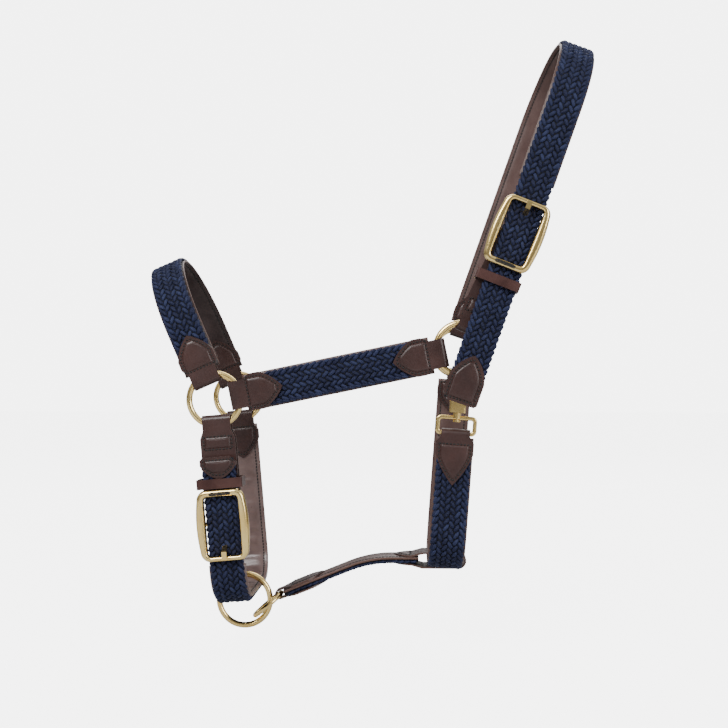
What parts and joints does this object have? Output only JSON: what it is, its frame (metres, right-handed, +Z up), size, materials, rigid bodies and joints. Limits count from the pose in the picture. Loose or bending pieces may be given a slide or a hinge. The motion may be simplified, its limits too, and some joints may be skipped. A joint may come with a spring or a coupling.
{
  "type": "headcollar",
  "caption": "Horse headcollar of plaited webbing lined with leather: noseband, cheeks, buckled crown and chin strap, throat strap with snap hook, jowl strap and brass rings.",
  "frame": {"origin": "midpoint between the upper cheek rings, on the axis through their centres", "axes": "+X from the nose to the poll side, +Y to the off (right) side, +Z up"},
  "size_m": [0.3569, 0.1427, 0.478],
  "materials": {
    "braid": "matt plaited cord",
    "lining": "smooth satin",
    "leather": "satin",
    "brass": "polished pale brass",
    "spring_steel": "drawn wire"
  },
  "bodies": {
    "cheeks": {"near_cheek_braid": "braid", "near_cheek_lining": "lining", "near_cheek_front_chape": "leather", "near_cheek_rear_chape": "leather", "off_cheek_braid": "braid", "off_cheek_lining": "lining", "off_cheek_front_chape": "leather", "off_cheek_rear_chape": "leather"},
    "near_nose_ring": {"near_nose_ring": "brass"},
    "off_nose_ring": {"off_nose_ring": "brass"},
    "near_upper_ring": {"near_upper_ring": "brass"},
    "off_upper_ring": {"off_upper_ring": "brass"},
    "noseband": {"noseband_braid": "braid", "noseband_lining": "lining", "noseband_near_chape": "leather", "noseband_off_chape": "leather"},
    "crown": {"crown_braid": "braid", "crown_lining": "lining", "crown_off_chape": "leather", "crown_tail_cap": "leather", "crown_billet_leather": "leather", "crown_billet_braid": "braid", "crown_buckle_bar": "brass", "crown_buckle_frame": "brass"},
    "crown_prong": {"crown_buckle_prong": "brass"},
    "crown_keeper": {"crown_keeper": "leather"},
    "chin_strap": {"chin_braid": "braid", "chin_lining": "lining", "chin_off_chape": "leather", "chin_tail_cap": "leather", "chin_billet_leather": "leather", "chin_billet_braid": "braid", "chin_buckle_bar": "brass", "chin_buckle_frame": "brass"},
    "chin_prong": {"chin_buckle_prong": "brass"},
    "chin_keeper": {"chin_keeper": "leather"},
    "chin_ring": {"chin_ring": "brass"},
    "jowl_ring": {"jowl_ring": "brass"},
    "jowl_strap": {"jowl_braid": "braid", "jowl_lining": "lining", "jowl_front_chape": "leather", "jowl_throat_loop": "leather"},
    "throat_strap": {"throat_braid": "braid", "throat_lining": "lining", "throat_near_chape": "leather", "throat_off_chape": "leather", "snap_eye": "brass"},
    "snap_hook": {"snap_hook_body": "brass", "snap_spring": "spring_steel"},
    "snap_bolt": {"snap_bolt": "brass", "snap_thumb_knob": "brass"}
  },
  "joints": [
    {"name": "near_nose_ring_turn", "type": "hinge", "parent": "cheeks", "child": "near_nose_ring", "pos_m": [-0.191, -0.06, -0.039], "axis": [0, 1, 0], "continuous": true},
    {"name": "off_nose_ring_turn", "type": "hinge", "parent": "cheeks", "child": "off_nose_ring", "pos_m": [-0.191, 0.06, -0.039], "axis": [0, 1, 0], "continuous": true},
    {"name": "near_upper_ring_turn", "type": "hinge", "parent": "cheeks", "child": "near_upper_ring", "pos_m": [0, -0.06, 0], "axis": [0, 1, 0], "continuous": true},
    {"name": "off_upper_ring_turn", "type": "hinge", "parent": "cheeks", "child": "off_upper_ring", "pos_m": [0, 0.06, 0], "axis": [0, 1, 0], "continuous": true},
    {"name": "noseband_swing", "type": "hinge", "parent": "cheeks", "child": "noseband", "pos_m": [-0.191, 0, -0.039], "axis": [0, 1, 0], "range_deg": [-50, 8]},
    {"name": "crown_swing", "type": "hinge", "parent": "cheeks", "child": "crown", "pos_m": [0, 0, 0], "axis": [0, 1, 0], "range_deg": [-25, 15]},
    {"name": "crown_prong_lift", "type": "hinge", "parent": "crown", "child": "crown_prong", "pos_m": [0.04118, -0.06, 0.08672], "axis": [0.9272, 0, -0.3746], "range_deg": [0, 35]},
    {"name": "crown_keeper_slide", "type": "slide", "parent": "crown", "child": "crown_keeper", "axis": [0.3665, 0, 0.9304], "range_m": [-0.005, 0.004]},
    {"name": "chin_swing", "type": "hinge", "parent": "cheeks", "child": "chin_strap", "pos_m": [-0.191, 0, -0.039], "axis": [0, 1, 0], "range_deg": [-4, 3]},
    {"name": "chin_prong_lift", "type": "hinge", "parent": "chin_strap", "child": "chin_prong", "pos_m": [-0.18263, -0.06, -0.13464], "axis": [-0.9962, 0, -0.0872], "range_deg": [0, 35]},
    {"name": "chin_keeper_slide", "type": "slide", "parent": "chin_strap", "child": "chin_keeper", "axis": [0.0872, 0, -0.9962], "range_m": [-0.01, 0]},
    {"name": "chin_ring_turn", "type": "hinge", "parent": "chin_strap", "child": "chin_ring", "pos_m": [-0.17648, 0, -0.20496], "axis": [0, 1, 0], "continuous": true},
    {"name": "jowl_ring_turn", "type": "hinge", "parent": "chin_strap", "child": "jowl_ring", "pos_m": [-0.15699, 0, -0.20847], "axis": [0.6428, 0, -0.766], "continuous": true},
    {"name": "jowl_swing", "type": "hinge", "parent": "chin_strap", "child": "jowl_strap", "pos_m": [-0.14627, 0, -0.19947], "axis": [0, 1, 0], "range_deg": [-8, 8]},
    {"name": "throat_swing", "type": "hinge", "parent": "cheeks", "child": "throat_strap", "pos_m": [0, 0, 0], "axis": [0, 1, 0], "range_deg": [-6, 6]},
    {"name": "snap_swivel", "type": "hinge", "parent": "throat_strap", "child": "snap_hook", "pos_m": [0, -0.06, 0], "axis": [-0.075, 0, -0.9972], "range_deg": [-6, 6]},
    {"name": "snap_bolt_slide", "type": "slide", "parent": "snap_hook", "child": "snap_bolt", "axis": [-0.075, 0, -0.9972], "range_m": [0, 0.004], "stiffness_N_per_m": 400, "springref_m": -0.002, "deforming": ["snap_spring"]}
  ],
  "couplings": [
    {"joint": "jowl_swing", "follows": "chin_swing", "ratio": -1.4342},
    {"joint": "throat_swing", "follows": "chin_swing", "ratio": 1.0202}
  ]
}
